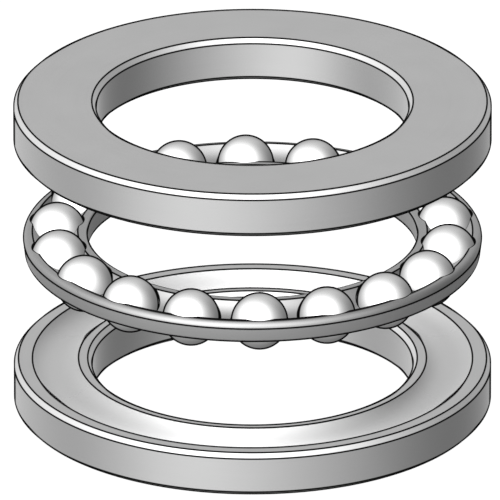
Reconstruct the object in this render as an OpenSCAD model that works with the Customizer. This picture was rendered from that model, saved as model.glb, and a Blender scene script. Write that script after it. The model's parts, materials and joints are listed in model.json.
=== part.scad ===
// Single-direction thrust ball bearing, drawn apart along its axis in the order it is fitted:
// housing washer, cage with its balls, shaft washer.
// Millimetres. The origin is the centre of the housing washer's seat face, and +Z runs along
// the bearing's axis towards the shaft washer.

/* [Boundary dimensions] */
// Bore diameter of the shaft washer, where the shaft seats
shaft_bore_d = 65; // [64:0.5:66]
// Outside diameter of the housing washer, where the housing seats
housing_d = 100; // [99:0.5:104]
// Bore diameter of the housing washer, wide enough to clear the turning shaft
housing_bore_d = 67; // [66.5:0.5:69]
// Outside diameter of the shaft washer, small enough to clear the housing
shaft_washer_d = 99.8; // [98.6:0.1:103.8]
// Height of the closed bearing, from seat face to seat face
closed_height = 27; // [26:0.5:32]
// Chamfer on the four edges of each washer
chamfer = 1; // [0.4:0.1:1.4]

/* [Balls and raceways] */
// Number of balls
ball_count = 18; // [9:1:18]
// Diameter of a ball
ball_d = 12; // [11.5:0.1:12.2]
// Diameter of the circle through the ball centres
pitch_d = 82.5; // [82.3:0.1:82.7]
// Radius of the raceway's arc, a little over half a ball
raceway_r = 6.55; // [6.4:0.05:6.8]
// Width of the raceway at the washer's face
raceway_w = 9.7; // [9:0.1:10]
// Room between a ball and each raceway when the bearing is closed
ball_room = 0.13; // [0.12:0.01:0.2]
// Angle of the first ball, round the axis from the -Y side
first_ball_angle = 2; // [0:1:19]

/* [Lubricant] */
// Thickness of the grease film in each raceway
film_t = 0.08; // [0.05:0.01:0.08]
// Gap that keeps the film clear of the washer's surface
film_gap = 0.01; // [0.005:0.005:0.02]

/* [Cage] */
// Bore diameter of the cage
cage_bore_d = 68.8; // [68.4:0.1:69]
// Outside diameter of the cage, over its rounded lip
cage_d = 96; // [95.8:0.1:96.4]
// Thickness of the cage's sheet
sheet_t = 1.1; // [0.9:0.05:1.1]
// Height of the cage's two rims above the ball centres
rim_z = 2.5; // [2.2:0.1:2.8]
// Width of the trough between the rims
trough_w = 9.5; // [9.3:0.1:9.6]
// Depth of the trough between the rims
trough_depth = 2.9; // [2.4:0.1:3.2]
// Radius of the rounded lip on the outer rim
lip_r = 1.4; // [1.2:0.1:1.5]
// Radius of the rounded edge on the inner rim
rim_round_r = 0.45; // [0.3:0.05:0.5]
// How far the inner skirt reaches below the ball centres
skirt_in_drop = 2.4; // [2:0.1:2.6]
// How far the outer skirt reaches below the ball centres
skirt_out_drop = 2.2; // [2:0.1:2.3]
// How far the outer skirt leans in at its foot
skirt_taper = 0.35; // [0.3:0.05:0.4]
// Gap between a ball and its pocket
pocket_gap = 0.1; // [0.05:0.01:0.12]

/* [Distance apart] */
// How far the cage and its balls stand above their closed place
cage_lift = 22.5; // [10:0.5:40]
// How much further the shaft washer stands above the cage
washer_lift = 18.5; // [10:0.5:40]

/* [Hidden] */
function ball_name(i) = str("ball_", i < 10 ? "0" : "", i);
$fn = 96;

ball_r = ball_d / 2;
pitch_r = pitch_d / 2;
// Height of the raceway arc's centre above the washer's face, and the depth that leaves
raceway_centre_h = sqrt(raceway_r ^ 2 - (raceway_w / 2) ^ 2);
raceway_depth = raceway_r - raceway_centre_h;
// Washer thickness that closes both washers on the balls at the stated height
washer_t = closed_height / 2 - ball_r - ball_room + raceway_depth;

ball_plane_z = closed_height / 2 + cage_lift;
shaft_seat_z = closed_height + cage_lift + washer_lift;

// Cage section, with heights counted from the ball centres
trough_r = ((trough_w / 2) ^ 2 + trough_depth ^ 2) / (2 * trough_depth);
trough_centre_z = rim_z - trough_depth + trough_r;
cage_in_r = cage_bore_d / 2;
cage_out_r = cage_d / 2;
lip_z = rim_z - lip_r;
// Each skirt ends in a half round, centred here
skirt_r = sheet_t / 2;
skirt_in_z = skirt_r - skirt_in_drop;
skirt_out_z = skirt_r - skirt_out_drop;
skirt_foot_r = cage_out_r - skirt_taper - skirt_r;
channel_top_z = rim_z - sheet_t;
// Turn between two points on an arc
arc_step = 22.5;
// Lets a cutting shape run past the surface that it cuts
over = 1;

steel = [0.69, 0.69, 0.69];
cage_steel = [0.62, 0.62, 0.62];
ball_steel = [0.9, 0.9, 0.9];
grease = [0.85, 0.8, 0.62, 0.35];

// Half section of a washer that stands on its seat face, with its raceway on top
module washer_section(bore_d, outside_d) {
    bore_r = bore_d / 2;
    outside_r = outside_d / 2;
    difference() {
        polygon([
            [bore_r + chamfer, 0],
            [outside_r - chamfer, 0],
            [outside_r, chamfer],
            [outside_r, washer_t - chamfer],
            [outside_r - chamfer, washer_t],
            [bore_r + chamfer, washer_t],
            [bore_r, washer_t - chamfer],
            [bore_r, chamfer]
        ]);
        translate([pitch_r, washer_t + raceway_centre_h]) circle(r = raceway_r);
    }
}

// Half section of the grease film, following the raceway arc up to the washer's face
module film_section() {
    intersection() {
        translate([pitch_r, washer_t + raceway_centre_h]) difference() {
            circle(r = raceway_r - film_gap);
            circle(r = raceway_r - film_gap - film_t);
        }
        translate([pitch_r - raceway_w / 2, 0]) square([raceway_w, washer_t]);
    }
}

// Turns a piece that is drawn for the housing washer over, onto the shaft washer's place
module on_shaft_side() {
    translate([0, 0, shaft_seat_z]) mirror([0, 0, 1]) children();
}

module housing_washer() {
    color(steel) rotate_extrude() washer_section(housing_bore_d, housing_d);
}

module shaft_washer() {
    color(steel) on_shaft_side() rotate_extrude() washer_section(shaft_bore_d, shaft_washer_d);
}

module housing_raceway_film() {
    color(grease) rotate_extrude() film_section();
}

module shaft_raceway_film() {
    color(grease) on_shaft_side() rotate_extrude() film_section();
}

// Points along an arc, from one angle to another
function arc(centre, r, from, to) =
    let (steps = abs(to - from) / arc_step)
    [
        for (k = [0:steps])
            let (angle = from + (to - from) * k / steps)
            centre + r * [cos(angle), sin(angle)]
    ];

// Outline of the cage as one solid ring: straight bore, rounded rims, slightly tapered skirt.
// It starts at the foot of the bore's skirt and goes up, over the top and down the outside.
module cage_outline() {
    polygon(concat(
        arc([cage_in_r + skirt_r, skirt_in_z], skirt_r, 360, 180),
        arc([cage_in_r + rim_round_r, rim_z - rim_round_r], rim_round_r, 180, 90),
        arc([cage_out_r - lip_r, lip_z], lip_r, 90, 0),
        arc([skirt_foot_r, skirt_out_z], skirt_r, 0, -180)
    ));
}

// The open channel under the sheet, between the two skirts and below the trough
module cage_channel() {
    difference() {
        polygon([
            [cage_in_r + sheet_t, -skirt_in_drop - over],
            [cage_in_r + sheet_t, channel_top_z],
            [cage_out_r - sheet_t, channel_top_z],
            [cage_out_r - sheet_t, lip_z],
            [skirt_foot_r - skirt_r, skirt_out_z],
            [skirt_foot_r - skirt_r, -skirt_in_drop - over]
        ]);
        translate([pitch_r, trough_centre_z]) circle(r = trough_r + sheet_t);
    }
}

// Half section of the pressed sheet: skirt, rim, trough, lip and skirt again
module cage_section() {
    difference() {
        cage_outline();
        translate([pitch_r, trough_centre_z]) circle(r = trough_r);
        cage_channel();
    }
}

// Puts a piece at the centre of ball i
module at_ball(i) {
    rotate([0, 0, first_ball_angle + (i - 1) * 360 / ball_count])
        translate([0, -pitch_r, ball_plane_z])
            children();
}

module cage() {
    color(cage_steel) difference() {
        translate([0, 0, ball_plane_z]) rotate_extrude() cage_section();
        for (i = [1:ball_count]) at_ball(i) sphere(r = ball_r + pocket_gap);
    }
}

module ball(i) {
    color(ball_steel) at_ball(i) sphere(r = ball_r);
}

housing_washer();
shaft_washer();
cage();
housing_raceway_film();
shaft_raceway_film();
for (i = [1:ball_count])
    ball(i);
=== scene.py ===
"""Looks of a single-direction thrust ball bearing, drawn apart along its axis.

Every steel piece is a turned or pressed surface that is built here at full smoothness on the CAD
frame's sizes, with its own normals, and finished with procedural steel. The photo is a plain
shaded drawing, so dark strokes lie on the edges and outlines, and no piece is mirrored in another
or casts a shadow.
"""
import json
import math
from collections import namedtuple

import bmesh
import bpy
import numpy as np
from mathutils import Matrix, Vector


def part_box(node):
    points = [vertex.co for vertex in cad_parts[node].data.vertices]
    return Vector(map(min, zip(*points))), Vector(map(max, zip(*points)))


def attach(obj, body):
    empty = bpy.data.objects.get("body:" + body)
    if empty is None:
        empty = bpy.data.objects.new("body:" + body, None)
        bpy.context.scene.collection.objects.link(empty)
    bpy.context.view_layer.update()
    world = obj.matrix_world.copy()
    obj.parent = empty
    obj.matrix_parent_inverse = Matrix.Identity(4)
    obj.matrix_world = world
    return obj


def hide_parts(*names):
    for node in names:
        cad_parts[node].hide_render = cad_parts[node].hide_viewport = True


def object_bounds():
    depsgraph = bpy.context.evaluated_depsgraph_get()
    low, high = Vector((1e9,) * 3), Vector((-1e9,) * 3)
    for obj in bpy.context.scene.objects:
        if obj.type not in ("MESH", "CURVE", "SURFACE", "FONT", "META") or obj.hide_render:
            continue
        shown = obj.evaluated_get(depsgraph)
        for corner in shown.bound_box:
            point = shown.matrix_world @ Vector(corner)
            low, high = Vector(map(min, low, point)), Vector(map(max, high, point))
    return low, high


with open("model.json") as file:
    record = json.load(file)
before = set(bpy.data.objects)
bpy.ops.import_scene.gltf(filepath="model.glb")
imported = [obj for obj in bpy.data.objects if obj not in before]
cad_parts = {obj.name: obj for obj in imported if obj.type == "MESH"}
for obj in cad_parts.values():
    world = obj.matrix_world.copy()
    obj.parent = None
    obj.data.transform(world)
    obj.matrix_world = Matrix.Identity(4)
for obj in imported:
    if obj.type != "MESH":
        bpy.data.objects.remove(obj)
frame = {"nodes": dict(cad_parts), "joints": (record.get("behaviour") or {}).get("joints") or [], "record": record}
cad_lo, cad_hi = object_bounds()

MM = 0.001
MICRON = 0.000001
TURN = 2 * math.pi

# ------------------------------------------------------------------ sizes from the frame

joints = {j["name"]: j for j in frame["joints"]}
mounts = {m["name"]: m for m in frame["record"]["mounts"]}
ball_names = sorted(n for n in frame["nodes"] if n.startswith("ball_"))

housing_lo, housing_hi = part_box("housing_washer")
shaft_lo, shaft_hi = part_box("shaft_washer")
film_lo, film_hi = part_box("housing_raceway_film")
ball_lo, ball_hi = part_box(ball_names[0])

WASHER_T = housing_hi.z - housing_lo.z
CHAMFER = (WASHER_T - mounts["housing_washer_outside"]["dims"]["length_mm"] * MM) / 2
HOUSING_BORE_R = mounts["housing_washer_bore"]["dims"]["r_mm"] * MM
HOUSING_R = mounts["housing_washer_outside"]["dims"]["r_mm"] * MM
SHAFT_BORE_R = mounts["shaft_washer_bore"]["dims"]["r_mm"] * MM
SHAFT_WASHER_R = (shaft_hi.x - shaft_lo.x) / 2

BALL_R = (ball_hi.z - ball_lo.z) / 2
ball_centres = [Vector(joints[n + "_spin"]["pos_m"]) for n in ball_names]
PITCH_R = math.hypot(ball_centres[0].x, ball_centres[0].y)
BALL_Z = ball_centres[0].z
BALL_TURN = TURN / len(ball_names)
FIRST_BALL = math.atan2(ball_centres[0].x, -ball_centres[0].y)

# The raceway's arc, from its width at the washer's face and its depth
FILM_GAP = 0.01 * MM
FILM_T = 0.08 * MM
FILM_REACH = 0.94  # how much of the raceway's arc the film covers
RACEWAY_HALF_W = (film_hi.x - film_lo.x) / 2 - PITCH_R
RACEWAY_DEPTH = housing_hi.z - film_lo.z + FILM_GAP
RACEWAY_R = (RACEWAY_HALF_W**2 + RACEWAY_DEPTH**2) / (2 * RACEWAY_DEPTH)
RACEWAY_CENTRE_H = RACEWAY_R - RACEWAY_DEPTH

# The cage's pressed sheet, with heights counted from the ball centres
SHEET_T = 1.1 * MM
RIM_Z = 2.5 * MM
TROUGH_HALF_W = 4.75 * MM
TROUGH_DEPTH = 2.9 * MM
TROUGH_R = (TROUGH_HALF_W**2 + TROUGH_DEPTH**2) / (2 * TROUGH_DEPTH)
TROUGH_CENTRE_Z = RIM_Z - TROUGH_DEPTH + TROUGH_R
CAGE_BORE_R = 34.4 * MM
CAGE_R = 48 * MM
LIP_R = 1.4 * MM
LIP_Z = RIM_Z - LIP_R
RIM_ROUND_R = 0.45 * MM
SKIRT_TAPER = 0.35 * MM
SKIRT_IN_Z = -1.85 * MM
SKIRT_OUT_Z = -1.65 * MM
POCKET_R = BALL_R + 0.1 * MM

# Radii of the small rounds on sharp edges, and where the sheet bends under the cage
EDGE_R = 0.15 * MM
CREVICE_R = 0.35 * MM

# How finely curves are divided: round the axis, along a section's arcs, and along a ball's cube
RING_STEPS = 288
SECTOR_STEPS = 24
GROOVE_STEPS = 48
TROUGH_STEPS = 40
LIP_STEPS = 14
FOOT_IN_STEPS = 10
FOOT_OUT_STEPS = 8
BEND_STEPS = 6
CAGE_EDGE_STEPS = 5
EDGE_STEPS = 4
BALL_STEPS = 24
POCKET_STEPS = 32

# The cage's pocket faces lie this near the pocket's sphere and face its centre at least this much
POCKET_NEAR = 0.05 * MM
POCKET_FACING = 0.97
# A corner this near the end of a sector, in radians, is on it, and sectors are welded this near
SECTOR_END = 1e-5
WELD_GAP = 1e-6
# A stretch of outline is taken to be at least this long, so that nothing is divided by zero
LEAST_LENGTH = 1e-9

# ------------------------------------------------------------------ numbers of the looks

# Dark strokes: their grey, their width, and the shares of that width between which they fade out
INK = 0.004
LINE_W = 0.36 * MM
EDGE_FADE = (0.68, 0.32)
POCKET_FADE = (0.75, 0.4)
OUTLINE_FADE = (1.2, 0.9)
BALL_FADE = (1.1, 0.9)
# A stroke is this much wider where a surface beside its edge turns out of sight, between two cosines
HALF_SEEN = 1.8
TURNS_AWAY = (0.12, -0.02)
# How far from its edge a stroke may be drawn
WASHER_REACH = 2 * MM
CAGE_REACH = 0.75 * MM
# The least cosine at which a surface counts as turning out of sight
LEAST_FACING = 0.001

# The wide gloss across fine marks: its roughness, and its share from the side and from the front
STREAK_ROUGH = 0.75
STREAK_SIDE = 0.08
STREAK_FRONT = 0.75

# Balls: their grey, how much of it a painted shade leaves near the outline, and between which cosines it drops to
# that
BALL_TONE = 0.99
BALL_TONE_IN_PAINTED_SHADE = 0.46
BALL_RIM = (0.3, 0.75)
BALL_ROUGH = 0.12

# The share of gloss in the clear grease
GREASE_GLOSS = 0.03

# Soft studio lights: azimuth and elevation in degrees, tightness, strength
SOFT_LIGHTS = {
    "key": (-15, 42, 2.5, 2.5),
    "front_left_fill": (-38, 12, 3.9, 0.9),
    "back_right_fill": (160, 27, 9.7, 0.22),
    "left_wall": (-150, -2, 1.4, 0.75),
    "low_right_fill": (42, -18, 2.5, 0.3),
    "back_left_fill": (-118, 32, 8.0, 0.2),
}

# Floor: half its side, its drop below the seat, its grey and grain, and its own glow
FLOOR_HALF = 20.0
FLOOR_DROP = 0.05 * MM
FLOOR_GREY = 0.1
FLOOR_GRAIN = 0.02
FLOOR_GLOW = 0.93

# Camera: what it looks at, the width it sees there, its elevation, and a long lens in millimetres
LOOK_AT = Vector((-0.52, 0, 34)) * MM
VIEW_W = 104.5 * MM
CAMERA_ELEVATION = 23.63
LENS = 1700
SENSOR = 36


# ------------------------------------------------------------------ half sections

class Section:
    """A closed half section: points (r, z) with their normals, going anticlockwise, and for each
    stretch between two points its zone and its curvature, positive where it bulges outward."""

    def __init__(self):
        self.points = []
        self.normals = []
        self.zones = []
        self.curvatures = []

    def add(self, point, normal, zone, curvature=0.0):
        """Adds a point; zone and curvature belong to the stretch that starts there."""
        self.points.append(point)
        self.normals.append(normal)
        self.zones.append(zone)
        self.curvatures.append(curvature)

    def arc(self, centre, r, start, end, steps, zone, next_zone, hollow=False):
        """An arc between two angles in degrees; a hollow one has its normals towards the centre.
        A straight stretch of next_zone starts at its last point."""
        side = -1 if hollow else 1
        for k in range(steps + 1):
            a = math.radians(start + (end - start) * k / steps)
            way = np.array([math.cos(a), math.sin(a)])
            if k < steps:
                self.add(centre + r * way, side * way, zone, side / r)
            else:
                self.add(centre + r * way, side * way, next_zone)

    def flipped(self, z_sum):
        """The same section turned over, so that a height z becomes z_sum - z."""
        out = Section()
        out.points = [np.array([p[0], z_sum - p[1]]) for p in self.points[::-1]]
        out.normals = [np.array([n[0], -n[1]]) for n in self.normals[::-1]]
        out.zones = self.zones[-2::-1] + self.zones[-1:]
        out.curvatures = self.curvatures[-2::-1] + self.curvatures[-1:]
        return out

    def raised(self, z):
        """The same section, z higher."""
        out = Section()
        out.points = [p + np.array([0, z]) for p in self.points]
        out.normals, out.zones, out.curvatures = self.normals, self.zones, self.curvatures
        return out


def angle_of(v):
    """Angle of a 2-D vector, in degrees."""
    return math.degrees(math.atan2(v[1], v[0]))


def washer_section(bore_r, outside_r):
    """Half section of a washer on its seat face, with a raceway in its top."""
    c, t = CHAMFER, WASHER_T
    s = Section()

    def corner(r, z, start, next_zone):
        """Rounds a corner between two surfaces that are 45 degrees apart."""
        middle = math.radians(start + 22.5)
        inward = -np.array([math.cos(middle), math.sin(middle)])
        centre = np.array([r, z]) + EDGE_R / math.cos(math.pi / 8) * inward
        s.arc(centre, EDGE_R, start, start + 45, EDGE_STEPS, "edge", next_zone)

    corner(outside_r - c, 0, -90, "chamfer")
    corner(outside_r, c, -45, "rim")
    corner(outside_r, t - c, 0, "chamfer")
    corner(outside_r - c, t, 45, "face")

    # The raceway: a rounded edge, the hollow arc, and a rounded edge again
    arc_centre = np.array([PITCH_R, t + RACEWAY_CENTRE_H])
    side = math.sqrt((RACEWAY_R + EDGE_R) ** 2 - (RACEWAY_CENTRE_H + EDGE_R) ** 2)
    outer = np.array([PITCH_R + side, t - EDGE_R])
    inner = np.array([PITCH_R - side, t - EDGE_R])
    lean = angle_of(arc_centre - outer)
    s.arc(outer, EDGE_R, 90, lean, EDGE_STEPS, "edge", "raceway")
    s.arc(arc_centre, RACEWAY_R, lean - 180, -lean, GROOVE_STEPS, "raceway", "edge", hollow=True)
    s.arc(inner, EDGE_R, 180 - lean, 90, EDGE_STEPS, "edge", "face")

    corner(bore_r + c, t, 90, "chamfer")
    corner(bore_r, t - c, 135, "bore")
    corner(bore_r, c, 180, "chamfer")
    corner(bore_r + c, 0, 225, "face")
    return s


def film_section():
    """Half section of the grease film: the raceway's arc, a hair above the steel."""
    centre = np.array([PITCH_R, WASHER_T + RACEWAY_CENTRE_H])
    reach = math.degrees(math.asin(RACEWAY_HALF_W / RACEWAY_R)) * FILM_REACH
    lower_r = RACEWAY_R - FILM_GAP
    upper_r = lower_r - FILM_T
    s = Section()
    s.arc(centre, lower_r, -90 - reach, -90 + reach, GROOVE_STEPS, "film", "film")
    s.arc(centre, upper_r, -90 + reach, -90 - reach, GROOVE_STEPS, "film", "film", hollow=True)
    return s


def crevice(foot, along, trough_side):
    """Centre of the small arc that joins a skirt's inner side to the trough's underside. The
    skirt's side starts at foot and runs along, and trough_side is +1 if the trough is outward."""
    across = np.array([along[1], -along[0]]) * trough_side
    start = foot + across * CREVICE_R
    gap = start - np.array([PITCH_R, TROUGH_CENTRE_Z])
    reach = TROUGH_R + SHEET_T + CREVICE_R
    b = gap @ along
    return start + along * (-b - math.sqrt(b * b - gap @ gap + reach * reach))


def cage_section():
    """Half section of the pressed sheet: inner skirt, rim, trough, rounded lip, outer skirt."""
    s = Section()
    half = SHEET_T / 2
    trough = np.array([PITCH_R, TROUGH_CENTRE_Z])
    foot_in = np.array([CAGE_BORE_R + half, SKIRT_IN_Z])
    foot_out = np.array([CAGE_R - SKIRT_TAPER - half, SKIRT_OUT_Z])
    lip = np.array([CAGE_R - LIP_R, LIP_Z])

    # Outer skirt's foot, its leaning side, and the lip
    side = np.array([CAGE_R, LIP_Z]) - foot_out - np.array([half, 0])
    s.arc(foot_out, half, -180, angle_of(side) - 90, FOOT_OUT_STEPS, "skirt", "skirt")
    s.arc(lip, LIP_R, 0, 90, LIP_STEPS, "lip", "lip")

    # Trough, with rounded edges to the lip and to the inner rim
    rise = TROUGH_CENTRE_Z - RIM_Z
    across = math.sqrt((TROUGH_R + EDGE_R) ** 2 - (rise + EDGE_R) ** 2)
    outer = np.array([PITCH_R + across, RIM_Z - EDGE_R])
    inner = np.array([PITCH_R - across, RIM_Z - EDGE_R])
    slope = angle_of(trough - outer)
    s.arc(outer, EDGE_R, 90, slope, CAGE_EDGE_STEPS, "edge", "trough")
    s.arc(trough, TROUGH_R, slope - 180, -slope, TROUGH_STEPS, "trough", "edge", hollow=True)
    s.arc(inner, EDGE_R, 180 - slope, 90, CAGE_EDGE_STEPS, "edge", "lip")

    # Inner rim's round, the bore and the inner skirt's foot
    rim = np.array([CAGE_BORE_R + RIM_ROUND_R, RIM_Z - RIM_ROUND_R])
    s.arc(rim, RIM_ROUND_R, 90, 180, BEND_STEPS, "lip", "skirt")
    s.arc(foot_in, half, 180, 360, FOOT_IN_STEPS, "skirt", "under")

    # Underside: up the inner skirt, along below the trough, and down the outer skirt
    up = np.array([0, 1])
    leaning = side / np.linalg.norm(side)
    bend_in = crevice(foot_in + np.array([half, 0]), up, 1)
    bend_out = crevice(foot_out - np.array([half, 0]), leaning, -1)
    touch_in = angle_of(trough - bend_in)
    touch_out = angle_of(trough - bend_out)
    off_skirt = angle_of(np.array([leaning[1], -leaning[0]]))
    under_r = TROUGH_R + SHEET_T
    s.arc(bend_in, CREVICE_R, 180, touch_in, BEND_STEPS, "under", "under", hollow=True)
    s.arc(trough, under_r, touch_in - 180, touch_out - 180, TROUGH_STEPS, "under", "under")
    s.arc(bend_out, CREVICE_R, touch_out, off_skirt, BEND_STEPS, "under", "under", hollow=True)
    return s


# ------------------------------------------------------------------ meshes

def revolve(name, section, steps, turn=TURN):
    """A mesh made by turning a section round Z; a part turn is centred on -Y and has end caps."""
    outline = np.array(section.points)
    count = len(outline)
    whole = turn == TURN
    columns = steps if whole else steps + 1
    azimuths = np.arange(columns) * turn / steps - turn / 2
    verts = [(r * math.sin(a), -r * math.cos(a), z) for a in azimuths for r, z in outline]
    faces = []
    for c in range(steps):
        here, there = c * count, (c + 1) % columns * count
        for p in range(count):
            q = (p + 1) % count
            faces.append((here + p, there + p, there + q, here + q))
    if not whole:
        faces.append(tuple(range(count)))
        faces.append(tuple(range((steps + 1) * count - 1, steps * count - 1, -1)))
    mesh = bpy.data.meshes.new(name)
    mesh.from_pydata(verts, [], faces)
    return mesh


def nearest_stretch(section, r, z):
    """For each point (r, z): the nearest stretch of the outline, and how far along it."""
    a = np.array(section.points)
    d = np.roll(a, -1, axis=0) - a
    p = np.stack([r, z], axis=1)[:, None, :]
    length2 = np.maximum((d * d).sum(1), LEAST_LENGTH**2)
    t = np.clip(((p - a) * d).sum(2) / length2, 0, 1)
    gap = np.linalg.norm(a + t[..., None] * d - p, axis=2)
    best = gap.argmin(1)
    return best, t[np.arange(len(best)), best]


def ring_normals(section, co):
    """Smooth normals of points on a turned surface, and the stretch each lies on."""
    r = np.hypot(co[:, 0], co[:, 1])
    stretch, t = nearest_stretch(section, r, co[:, 2])
    n = np.array(section.normals)
    n = n[stretch] * (1 - t)[:, None] + np.roll(n, -1, axis=0)[stretch] * t[:, None]
    n /= np.linalg.norm(n, axis=1)[:, None]
    return np.column_stack([n[:, 0] * co[:, 0] / r, n[:, 0] * co[:, 1] / r, n[:, 1]]), stretch


def corners_of(mesh):
    """Corners of a mesh, as an array."""
    co = np.zeros(len(mesh.vertices) * 3)
    mesh.vertices.foreach_get("co", co)
    return co.reshape(-1, 3)


def of_faces(mesh, what):
    """Each face's centre or normal, as an array."""
    values = np.zeros(len(mesh.polygons) * 3)
    mesh.polygons.foreach_get(what, values)
    return values.reshape(-1, 3)


def add_piece(name, mesh, node, materials):
    """Puts a mesh in the scene in place of a CAD node, on that node's body."""
    for material in materials:
        mesh.materials.append(material)
    piece = bpy.data.objects.new(name, mesh)
    bpy.context.scene.collection.objects.link(piece)
    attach(piece, node)
    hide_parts(node)
    piece.visible_glossy = False
    piece.visible_shadow = False


def dress_ring(mesh, section, zone_names, pockets=None):
    """Gives a turned mesh its normals, its zones' materials and the curvature of each face.
    pockets is which faces lie in a ball pocket, and each corner's normal there."""
    normals, _ = ring_normals(section, corners_of(mesh))
    _, stretch = ring_normals(section, of_faces(mesh, "center"))
    zone = np.array([zone_names.index(z) for z in section.zones])[stretch]
    curvature = np.array(section.curvatures, float)[stretch]
    loop_vertex = np.zeros(len(mesh.loops), int)
    mesh.loops.foreach_get("vertex_index", loop_vertex)
    loop_normals = normals[loop_vertex]
    if pockets is not None:
        in_pocket, pocket_normals = pockets
        zone[in_pocket] = zone_names.index("pocket")
        curvature[in_pocket] = -1 / POCKET_R
        face_sizes = [len(p.vertices) for p in mesh.polygons]
        loop_in_pocket = np.repeat(in_pocket, face_sizes)
        loop_normals[loop_in_pocket] = pocket_normals[loop_vertex][loop_in_pocket]
    mesh.polygons.foreach_set("material_index", zone.astype(np.int32))
    mesh.polygons.foreach_set("use_smooth", np.ones(len(zone), bool))
    bend = mesh.attributes.new("bend", "FLOAT", "FACE")
    bend.data.foreach_set("value", curvature.astype(np.float32))
    mesh.normals_split_custom_set(loop_normals.tolist())
    mesh.update()


# ------------------------------------------------------------------ formulas in node trees

def plug(node, name, value):
    """Sets a node's input, from a Value, or from a plain number or vector."""
    if isinstance(value, Value):
        value.tree.links.new(value.socket, node.inputs[name])
    else:
        node.inputs[name].default_value = value


class Value:
    """A number or a vector in a node tree, so that a shading formula reads as arithmetic."""

    def __init__(self, tree, socket):
        self.tree = tree
        self.socket = socket

    def node(self, node_type, values, output=0, **settings):
        """The output of a new node that takes these values."""
        node = self.tree.nodes.new(node_type)
        for name, setting in settings.items():
            setattr(node, name, setting)
        for i, value in enumerate(values):
            plug(node, i, value)
        return Value(self.tree, node.outputs[output])

    def math(self, operation, *others):
        return self.node("ShaderNodeMath", (self,) + others, operation=operation)

    def vector(self, operation, *others):
        output = "Value" if operation in ("DOT_PRODUCT", "LENGTH") else "Vector"
        values = (self,) + others
        return self.node("ShaderNodeVectorMath", values, output, operation=operation)

    def dot(self, other):
        return self.vector("DOT_PRODUCT", other)

    def __add__(self, other):
        return self.math("ADD", other)

    def __sub__(self, other):
        return self.math("SUBTRACT", other)

    def __mul__(self, other):
        return self.math("MULTIPLY", other)

    def __truediv__(self, other):
        return self.math("DIVIDE", other)

    def __neg__(self):
        return self.math("MULTIPLY", -1.0)

    def abs(self):
        return self.math("ABSOLUTE")

    def root(self):
        return self.math("SQRT")

    def least(self, other):
        return self.math("MINIMUM", other)

    def most(self, other):
        return self.math("MAXIMUM", other)

    def ramp(self, start, end):
        """0 at start and 1 at end, with a smooth turn between; start may be above end."""
        values = (self, start, end)
        return self.node("ShaderNodeMapRange", values, interpolation_type="SMOOTHSTEP")

    def fade(self, width, shares):
        """1 within a stroke, which fades out between two shares of its width."""
        return self.ramp(width * shares[0], width * shares[1])

    def parts(self):
        """The three numbers of a vector."""
        node = self.tree.nodes.new("ShaderNodeSeparateXYZ")
        plug(node, 0, self)
        return [Value(self.tree, s) for s in node.outputs]


def source(tree, node_type, output):
    """An output of a new input node."""
    return Value(tree, tree.nodes.new(node_type).outputs[output])


def combine(x, y, z):
    """A vector from three values; each may be a plain number, apart from the first."""
    return x.node("ShaderNodeCombineXYZ", (x, y, z))


def to_object(vector):
    """A world vector in the object's own axes, so that a look rides with its body."""
    return vector.node(
        "ShaderNodeVectorTransform", (vector,),
        vector_type="VECTOR", convert_from="WORLD", convert_to="OBJECT",
    )


def noise(position, scale, detail=3.0, roughness=0.5):
    """Fractal noise between 0 and 1, centred on 0.5; scale is in waves per metre."""
    noisy = position.node("ShaderNodeTexNoise", (position,))
    plug(noisy.socket.node, "Scale", scale)
    plug(noisy.socket.node, "Detail", detail)
    plug(noisy.socket.node, "Roughness", roughness)
    return noisy


class Place:
    """Where a shading point is on a turned piece, and how it is seen."""

    def __init__(self, tree):
        self.position = source(tree, "ShaderNodeTexCoord", "Object")
        self.seen_along = to_object(source(tree, "ShaderNodeNewGeometry", "Incoming"))
        self.normal = to_object(source(tree, "ShaderNodeNewGeometry", "Normal"))
        x, y, self.z = self.position.parts()
        self.r = (x * x + y * y).root()
        self.outward = combine(x / self.r, y / self.r, 0.0)
        self.around = combine(-(y / self.r), x / self.r, 0.0)
        self.facing = self.normal.dot(self.seen_along).abs()


# ------------------------------------------------------------------ strokes

def edge_line(place, edges, reach):
    """1 on a thin line along each edge circle, equally wide from every side, and no further from it
    than reach. An edge is its radius, its height, and which way the surfaces on its two sides face,
    in degrees from outward."""
    sideways = place.seen_along.vector("CROSS_PRODUCT", place.around).vector("NORMALIZE")
    per_r = sideways.dot(place.outward)
    per_z = sideways.parts()[2]
    out_share = place.seen_along.dot(place.outward)
    up_share = place.seen_along.parts()[2]
    nearest = None
    for edge_r, edge_z, *sides in edges:
        dr = place.r - edge_r
        dz = place.z - edge_z
        seen = (dr * per_r + dz * per_z).abs()
        facings = [
            out_share * math.cos(math.radians(side)) + up_share * math.sin(math.radians(side))
            for side in sides
        ]
        away = facings[0].least(facings[1]).ramp(*TURNS_AWAY)
        wider = away * (HALF_SEEN - 1) + 1.0
        too_far = (dr * dr + dz * dz).root().math("GREATER_THAN", reach)
        seen = seen / wider + too_far
        nearest = seen if nearest is None else nearest.least(seen)
    return nearest.fade(LINE_W, EDGE_FADE)


def pocket_line(place):
    """1 on a thin line round each ball pocket."""
    x, y, z = place.position.parts()
    azimuth = x.math("ARCTAN2", -y) - FIRST_BALL
    folded = azimuth.math("WRAP", BALL_TURN / 2, -BALL_TURN / 2)
    across = place.r * folded.math("SINE")
    along = place.r * folded.math("COSINE") - PITCH_R
    away = combine(across, along, z - BALL_Z)
    return (away.vector("LENGTH") - POCKET_R).abs().fade(LINE_W, POCKET_FADE)


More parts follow.
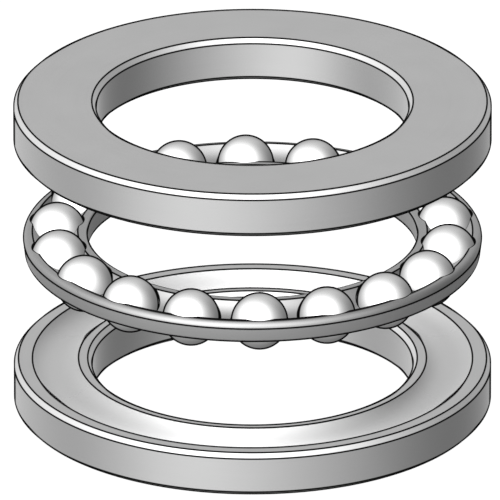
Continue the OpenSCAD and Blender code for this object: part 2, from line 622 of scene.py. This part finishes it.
def outline(place, bend):
    """1 where a curved surface turns out of sight; bend is its curvature along the section."""
    # The 1.0001 keeps the division below from being by zero
    across = (place.facing * place.facing).math("SUBTRACT", 1.0001).abs()
    around = place.seen_along.dot(place.around).math("POWER", 2.0)
    share = (around / across).least(1.0)
    round_bend = place.normal.dot(place.outward) / place.r
    total = round_bend * share + bend * share.math("SUBTRACT", 1.0).abs()
    width = (total * LINE_W).most(0.0).least(1.0)
    limit = (width * 2.0 - width * width).root().most(LEAST_FACING)
    return place.facing.fade(limit, OUTLINE_FADE)


def ball_outline(place):
    """1 where a ball turns out of sight."""
    width = LINE_W / BALL_R
    limit = math.sqrt(2 * width - width * width)
    return place.facing.fade(limit, BALL_FADE)


# ------------------------------------------------------------------ machining marks

def ground_lay(place):
    """Fine rings left by a face grinder."""
    drift = noise(place.position, scale=18.0, detail=2.0) * (0.4 * MM)
    across = place.position.parts()[0] * 0.02
    return noise(combine(place.r + drift, across, 0.0), scale=4500.0)


def rim_lay(place):
    """Fine lines round a ground or turned wall."""
    x, y, _ = place.outward.parts()
    return noise(combine(place.z, x * (0.3 * MM), y * (0.3 * MM)), scale=4500.0)


def chamfer_lay(place):
    """The fine thread that a turning tool leaves."""
    thread = 0.09 * MM
    return ((place.r - place.z) * (TURN / thread)).math("SINE") * 0.5 + 0.5


def polished_lay(place):
    """Honing marks, nearly polished away."""
    return noise(combine(place.r, place.z, 0.0), scale=9000.0, detail=2.0)


def pressed_lay(place):
    """The fine orange peel of pressed sheet."""
    return noise(place.position, scale=1600.0, roughness=0.6)


def lapped_lay(place):
    """Faint scuffs on a lapped ball."""
    return noise(place.position, scale=2500.0, detail=2.0)


# ------------------------------------------------------------------ materials

# A steel's grey and roughness, its marks and how deep they are, and how much its grey varies
Finish = namedtuple("Finish", "tone roughness lay depth mottle")

# The zones' greys differ partly by finish and partly as painted light: the chamfer's grey is raised for a painted
# highlight
WASHER_FINISHES_AND_PAINTED_LIGHT = {
    "face": Finish(0.487, 0.7, ground_lay, 0.6 * MICRON, 0.05),
    "rim": Finish(0.56, 0.2, rim_lay, 0.6 * MICRON, 0.05),
    "bore": Finish(0.56, 0.2, rim_lay, 0.6 * MICRON, 0.05),
    "chamfer": Finish(0.756, 0.32, chamfer_lay, 0.4 * MICRON, 0.05),
    "edge": Finish(0.28, 0.25, polished_lay, 0, 0.05),
    "raceway": Finish(0.57, 0.2, polished_lay, 0.2 * MICRON, 0.03),
}
# One pressed sheet with a grey for each zone: the skirt's is lowered as painted shade on its downward-leaning side
CAGE_FINISHES_AND_PAINTED_LIGHT = {
    "skirt": Finish(0.315, 0.65, pressed_lay, 1 * MICRON, 0.08),
    "lip": Finish(0.3612, 0.24, pressed_lay, 1 * MICRON, 0.08),
    "trough": Finish(0.3864, 0.28, pressed_lay, 1 * MICRON, 0.08),
    "edge": Finish(0.21, 0.3, pressed_lay, 0, 0.08),
    "under": Finish(0.378, 0.34, pressed_lay, 1 * MICRON, 0.1),
    "pocket": Finish(0.252, 0.2, pressed_lay, 0, 0.08),
}


def new_material(name):
    """A material with an empty node tree."""
    material = bpy.data.materials.new(name)
    material.use_nodes = True
    material.node_tree.nodes.clear()
    return material, material.node_tree


def metal(tree, grey):
    """A metallic shader of this grey."""
    shader = tree.nodes.new("ShaderNodeBsdfPrincipled")
    plug(shader, "Metallic", 1.0)
    plug(shader, "Base Color", combine(grey, grey, grey))
    return shader


def mixed(tree, share, first, second):
    """A mix of two shaders; share is how much the second takes."""
    mix = tree.nodes.new("ShaderNodeMixShader")
    plug(mix, 0, share)
    tree.links.new(first.outputs[0], mix.inputs[1])
    tree.links.new(second.outputs[0], mix.inputs[2])
    return mix


def set_surface(tree, shader, output="ShaderNodeOutputMaterial"):
    """Makes a shader what the material, or the world, shows."""
    tree.links.new(shader.outputs[0], tree.nodes.new(output).inputs["Surface"])


def inked(tree, shader, line):
    """A finished steel with the dark edge and outline strokes over it."""
    ink = tree.nodes.new("ShaderNodeBsdfDiffuse")
    plug(ink, "Color", (INK, INK, INK, 1))
    return mixed(tree, line, shader, ink)


def streaked(tree, shader, grey, share):
    """Adds the wide gloss that fine marks round the axis stretch across themselves."""
    wide = metal(tree, grey)
    plug(wide, "Roughness", STREAK_ROUGH)
    plug(wide, "Anisotropic", 1.0)
    plug(wide, "Anisotropic Rotation", 0.25)
    tangent = tree.nodes.new("ShaderNodeTangent")
    tangent.direction_type = "RADIAL"
    tangent.axis = "Z"
    tree.links.new(tangent.outputs[0], wide.inputs["Tangent"])
    return mixed(tree, share, shader, wide)


def steel(name, finish, edges, reach, pocketed=False, with_streak=False):
    """Steel with machining marks, and strokes on its outline, on the edges and, on the cage, round
    the pockets. with_streak adds the wide gloss of marks that run round the axis."""
    material, tree = new_material(name)
    place = Place(tree)
    marks = finish.lay(place)
    cloud = noise(place.position, scale=90.0, detail=4.0)
    shade = (marks - 0.5) * finish.mottle + (cloud - 0.5) * finish.mottle + 1.0
    rough = ((cloud - 0.5) * 0.25 + (marks - 0.5) * 0.2 + 1.0) * finish.roughness
    shader = metal(tree, shade * finish.tone)
    plug(shader, "Roughness", rough)
    if finish.depth:
        bump = tree.nodes.new("ShaderNodeBump")
        plug(bump, "Strength", 1.0)
        plug(bump, "Distance", finish.depth)
        plug(bump, "Height", marks)
        tree.links.new(bump.outputs[0], shader.inputs["Normal"])
    if with_streak:
        across = place.seen_along.dot(place.outward).math("POWER", 2.0)
        shader = streaked(tree, shader, shade, across * STREAK_FRONT + STREAK_SIDE)

    bend = source(tree, "ShaderNodeAttribute", "Fac")
    bend.socket.node.attribute_name = "bend"
    line = outline(place, bend)
    if edges:
        line = line.most(edge_line(place, edges, reach))
    if pocketed:
        line = line.most(pocket_line(place))
    set_surface(tree, inked(tree, shader, line))
    return material


def ball_steel():
    """Polished ball steel, darker towards where it turns out of sight by painted shade, with a dark outline there.
    """
    material, tree = new_material("ball_polish")
    place = Place(tree)
    marks = lapped_lay(place)
    cloud = noise(place.position, scale=300.0)
    # Painted shade: the grey drops as the surface turns away from the camera, standing in for dark surroundings
    # mirrored there
    painted_rim_shade = place.facing.ramp(*BALL_RIM) * (1 - BALL_TONE_IN_PAINTED_SHADE) + BALL_TONE_IN_PAINTED_SHADE
    shader = metal(tree, ((cloud - 0.5) * 0.02 + 1.0) * painted_rim_shade * BALL_TONE)
    plug(shader, "Roughness", (marks - 0.5) * 0.04 + BALL_ROUGH)
    set_surface(tree, inked(tree, shader, ball_outline(place)))
    return material


def grease():
    """A clear film: it only adds a weak gloss."""
    material, tree = new_material("clear_grease")
    clear = tree.nodes.new("ShaderNodeBsdfTransparent")
    gloss = tree.nodes.new("ShaderNodeBsdfGlossy")
    rough = noise(source(tree, "ShaderNodeTexCoord", "Object"), scale=700.0) * 0.1 + 0.05
    plug(gloss, "Roughness", rough)
    set_surface(tree, mixed(tree, GREASE_GLOSS, clear, gloss))
    return material


# ------------------------------------------------------------------ washers and films

def washer_edges(bore_r, outside_r, seat_z, up):
    """The edge circles of a washer; up is +1 if its raceway faces up, and -1 if down."""
    c, t = CHAMFER, WASHER_T
    lean = math.degrees(math.acos(RACEWAY_HALF_W / RACEWAY_R))
    corners = [
        (outside_r - c, 0, -90, -45), (outside_r, c, -45, 0),
        (outside_r, t - c, 0, 45), (outside_r - c, t, 45, 90),
        (bore_r + c, 0, -90, -135), (bore_r, c, -135, 180),
        (bore_r, t - c, 180, 135), (bore_r + c, t, 135, 90),
        (PITCH_R - RACEWAY_HALF_W, t, 90, lean), (PITCH_R + RACEWAY_HALF_W, t, 90, 180 - lean),
    ]
    return [(r, seat_z + up * h, up * a, up * b) for r, h, a, b in corners]


def make_washer(node, bore_r, outside_r, seat_z, up):
    """One washer, with a finish for each of its turned, ground and honed zones; the zones' greys also hold painted
    light.
    """
    section = washer_section(bore_r, outside_r)
    if up < 0:
        section = section.flipped(seat_z)
    edges = washer_edges(bore_r, outside_r, seat_z, up)
    zone_materials = [
        steel(f"{node}_{zone}", finish, edges, WASHER_REACH, with_streak=zone == "raceway")
        for zone, finish in WASHER_FINISHES_AND_PAINTED_LIGHT.items()
    ]
    mesh = revolve(node + "_steel", section, RING_STEPS)
    dress_ring(mesh, section, list(WASHER_FINISHES_AND_PAINTED_LIGHT))
    add_piece(node + "_steel", mesh, node, zone_materials)


def make_film(node, seat_z, up, material):
    """The grease film in one raceway."""
    section = film_section()
    if up < 0:
        section = section.flipped(seat_z)
    mesh = revolve(node + "_clear", section, RING_STEPS)
    dress_ring(mesh, section, ["film"])
    add_piece(node + "_clear", mesh, node, [material])


# ------------------------------------------------------------------ balls

def round_cube(steps, r):
    """Corners and faces of a sphere made from a cube's six grids, with its cells evened out."""
    verts, faces, seen = [], [], {}

    def corner(v):
        """The number of a corner, which neighbouring grids share."""
        key = tuple(round(c, 6) for c in v)
        if key not in seen:
            seen[key] = len(verts)
            even = Vector(math.tan(c * math.pi / 4) for c in v)
            verts.append(even.normalized() * r)
        return seen[key]

    for axis in range(3):
        for side in (-1, 1):
            grid = []
            for i in range(steps + 1):
                for j in range(steps + 1):
                    v = [0.0, 0.0, 0.0]
                    v[axis] = side
                    v[(axis + 1) % 3] = (2 * i / steps - 1) * side
                    v[(axis + 2) % 3] = 2 * j / steps - 1
                    grid.append(corner(v))
            for i in range(steps):
                for j in range(steps):
                    a = i * (steps + 1) + j
                    b = a + steps + 1
                    faces.append((grid[a], grid[b], grid[b + 1], grid[a + 1]))
    return verts, faces


def make_ball(node, centre, material):
    """One lapped ball, with normals that point straight out from its centre."""
    verts, faces = round_cube(BALL_STEPS, BALL_R)
    mesh = bpy.data.meshes.new(node + "_steel")
    mesh.from_pydata([v + centre for v in verts], [], faces)
    mesh.polygons.foreach_set("use_smooth", np.ones(len(faces), bool))
    mesh.normals_split_custom_set_from_vertices([v.normalized() for v in verts])
    add_piece(node + "_steel", mesh, node, [material])


# ------------------------------------------------------------------ cage

def cut_sector(section):
    """One ball's share of the cage, with the ball's pocket cut from it, centred on -Y."""
    sector = bpy.data.objects.new("sector", revolve("sector", section, SECTOR_STEPS, BALL_TURN))
    cutter_mesh = bpy.data.meshes.new("cutter")
    verts, faces = round_cube(POCKET_STEPS, POCKET_R)
    cutter_mesh.from_pydata([v + Vector((0, -PITCH_R, BALL_Z)) for v in verts], [], faces)
    cutter = bpy.data.objects.new("cutter", cutter_mesh)
    for part in (sector, cutter):
        bpy.context.scene.collection.objects.link(part)
    cut = sector.modifiers.new("pocket", "BOOLEAN")
    cut.operation = "DIFFERENCE"
    cut.solver = "EXACT"
    cut.object = cutter
    graph = bpy.context.evaluated_depsgraph_get()
    mesh = bpy.data.meshes.new_from_object(sector.evaluated_get(graph))
    for part in (sector, cutter):
        bpy.data.objects.remove(part)
    return mesh


def repeat_sector(name, sector):
    """A whole ring from one sector: repeated round the axis, without the end caps, and welded."""
    co = corners_of(sector)
    azimuth = np.arctan2(co[:, 0], -co[:, 1])
    at_end = np.abs(np.abs(azimuth) - BALL_TURN / 2) < SECTOR_END

    def is_cap(face):
        return all(at_end[v] and azimuth[v] * azimuth[face[0]] > 0 for v in face)

    faces = [tuple(p.vertices) for p in sector.polygons if not is_cap(p.vertices)]
    all_co, all_faces = [], []
    for k in range(len(ball_names)):
        a = FIRST_BALL + k * BALL_TURN
        turn = np.array([[math.cos(a), -math.sin(a), 0], [math.sin(a), math.cos(a), 0], [0, 0, 1]])
        all_co.append(co @ turn.T)
        all_faces += [tuple(v + k * len(co) for v in f) for f in faces]
    mesh = bpy.data.meshes.new(name)
    mesh.from_pydata(np.concatenate(all_co).tolist(), [], all_faces)
    work = bmesh.new()
    work.from_mesh(mesh)
    bmesh.ops.remove_doubles(work, verts=work.verts, dist=WELD_GAP)
    work.to_mesh(mesh)
    work.free()
    return mesh


def from_nearest_ball(co):
    """For each point, the vector from the centre of the nearest ball, and its length."""
    away = co[:, None, :] - np.array(ball_centres)[None]
    near = np.linalg.norm(away, axis=2).argmin(1)
    away = away[np.arange(len(co)), near]
    return away, np.linalg.norm(away, axis=1)


def find_pockets(mesh):
    """Which of the cage's faces lie in a ball pocket, and the pocket's normal at each corner."""
    away, distance = from_nearest_ball(of_faces(mesh, "center"))
    towards = -(of_faces(mesh, "normal") * away).sum(1) / distance
    in_pocket = (np.abs(distance - POCKET_R) < POCKET_NEAR) & (towards > POCKET_FACING)
    away, distance = from_nearest_ball(corners_of(mesh))
    return in_pocket, -away / distance[:, None]


def cage_edges():
    """The edge circles of the cage: its two walls' tops, its trough's rims and its two feet."""
    slope = math.degrees(math.acos(TROUGH_HALF_W / TROUGH_R))
    # A foot's round is stroked halfway up its outer side
    foot_down = SHEET_T / 2 * math.sqrt(0.5)
    foot_in = SHEET_T / 2 - foot_down
    circles = [
        (CAGE_BORE_R, RIM_Z - RIM_ROUND_R, 180, 180),
        (PITCH_R - TROUGH_HALF_W, RIM_Z, 90, slope),
        (PITCH_R + TROUGH_HALF_W, RIM_Z, 90, 180 - slope),
        (CAGE_R, LIP_Z, 0, 0),
        (CAGE_BORE_R + foot_in, SKIRT_IN_Z - foot_down, 180, -90),
        (CAGE_R - SKIRT_TAPER - foot_in, SKIRT_OUT_Z - foot_down, 0, -90),
    ]
    return [(r, BALL_Z + z, a, b) for r, z, a, b in circles]


def make_cage(node):
    """The pressed cage, with a pocket for each ball."""
    section = cage_section().raised(BALL_Z)
    mesh = repeat_sector(node + "_steel", cut_sector(section))
    dress_ring(mesh, section, list(CAGE_FINISHES_AND_PAINTED_LIGHT), find_pockets(mesh))
    edges = cage_edges()
    zone_materials = [
        steel(f"cage_{zone}", finish, None if zone == "pocket" else edges, CAGE_REACH, pocketed=True)
        for zone, finish in CAGE_FINISHES_AND_PAINTED_LIGHT.items()
    ]
    add_piece(node + "_steel", mesh, node, zone_materials)


# ------------------------------------------------------------------ light, floor and camera

def direction(azimuth, elevation):
    """Unit vector; azimuth is counted from the front, -Y, towards +X, in degrees."""
    a, e = math.radians(azimuth), math.radians(elevation)
    return math.sin(a) * math.cos(e), -math.cos(a) * math.cos(e), math.sin(e)


def make_world():
    """A white studio for the camera; for the object, broad soft lights on a dark ground."""
    world = bpy.data.worlds.new("studio")
    bpy.context.scene.world = world
    world.use_nodes = True
    tree = world.node_tree
    tree.nodes.clear()
    way = source(tree, "ShaderNodeTexCoord", "Generated").vector("NORMALIZE")
    total = None
    for azimuth, elevation, tightness, strength in SOFT_LIGHTS.values():
        aim = way.dot(direction(azimuth, elevation))
        lobe = ((aim - 1.0) * tightness).math("EXPONENT") * strength
        total = lobe if total is None else total + lobe
    light = tree.nodes.new("ShaderNodeBackground")
    plug(light, "Color", combine(total, total, total))
    white = tree.nodes.new("ShaderNodeBackground")
    plug(white, "Color", (1, 1, 1, 1))
    for_camera = source(tree, "ShaderNodeLightPath", "Is Camera Ray")
    set_surface(tree, mixed(tree, for_camera, light, white), "ShaderNodeOutputWorld")


def make_floor():
    """A pale floor under the housing washer, seen from above only."""
    half, z = FLOOR_HALF, cad_lo.z - FLOOR_DROP
    corners = [(-half, -half, z), (half, -half, z), (half, half, z), (-half, half, z)]
    mesh = bpy.data.meshes.new("floor")
    mesh.from_pydata(corners, [], [(0, 1, 2, 3)])
    floor = bpy.data.objects.new("floor", mesh)
    bpy.context.scene.collection.objects.link(floor)
    material, tree = new_material("pale_floor")
    paper = tree.nodes.new("ShaderNodeBsdfDiffuse")
    grain = noise(source(tree, "ShaderNodeTexCoord", "Object"), scale=400.0, detail=2.0)
    grey = grain * FLOOR_GRAIN + FLOOR_GREY
    plug(paper, "Color", combine(grey, grey, grey))
    glow = tree.nodes.new("ShaderNodeEmission")
    plug(glow, "Strength", FLOOR_GLOW)
    both = tree.nodes.new("ShaderNodeAddShader")
    tree.links.new(paper.outputs[0], both.inputs[0])
    tree.links.new(glow.outputs[0], both.inputs[1])
    clear = tree.nodes.new("ShaderNodeBsdfTransparent")
    from_below = source(tree, "ShaderNodeNewGeometry", "Backfacing")
    set_surface(tree, mixed(tree, from_below, both, clear))
    mesh.materials.append(material)
    floor.visible_glossy = False
    floor.visible_diffuse = False
    floor.visible_shadow = False


def make_camera():
    """A long lens, so that parallel edges stay parallel."""
    lens = bpy.data.cameras.new("camera")
    lens.sensor_width = SENSOR
    lens.lens = LENS
    lens.clip_start = 0.1
    lens.clip_end = 50
    camera = bpy.data.objects.new("camera", lens)
    bpy.context.scene.collection.objects.link(camera)
    away = Vector(direction(0, CAMERA_ELEVATION))
    camera.location = LOOK_AT + away * (VIEW_W * LENS / SENSOR)
    camera.rotation_mode = "QUATERNION"
    camera.rotation_quaternion = (-away).to_track_quat("-Z", "Y")
    bpy.context.scene.camera = camera


# ------------------------------------------------------------------ the scene

make_washer("housing_washer", HOUSING_BORE_R, HOUSING_R, housing_lo.z, 1)
make_washer("shaft_washer", SHAFT_BORE_R, SHAFT_WASHER_R, shaft_hi.z, -1)
clear_grease = grease()
make_film("housing_raceway_film", housing_lo.z, 1, clear_grease)
make_film("shaft_raceway_film", shaft_hi.z, -1, clear_grease)
ball_polish = ball_steel()
for ball_name, ball_centre in zip(ball_names, ball_centres):
    make_ball(ball_name, ball_centre, ball_polish)
make_cage("cage")
make_world()
make_floor()
make_camera()
bpy.context.scene.view_settings.view_transform = "Standard"
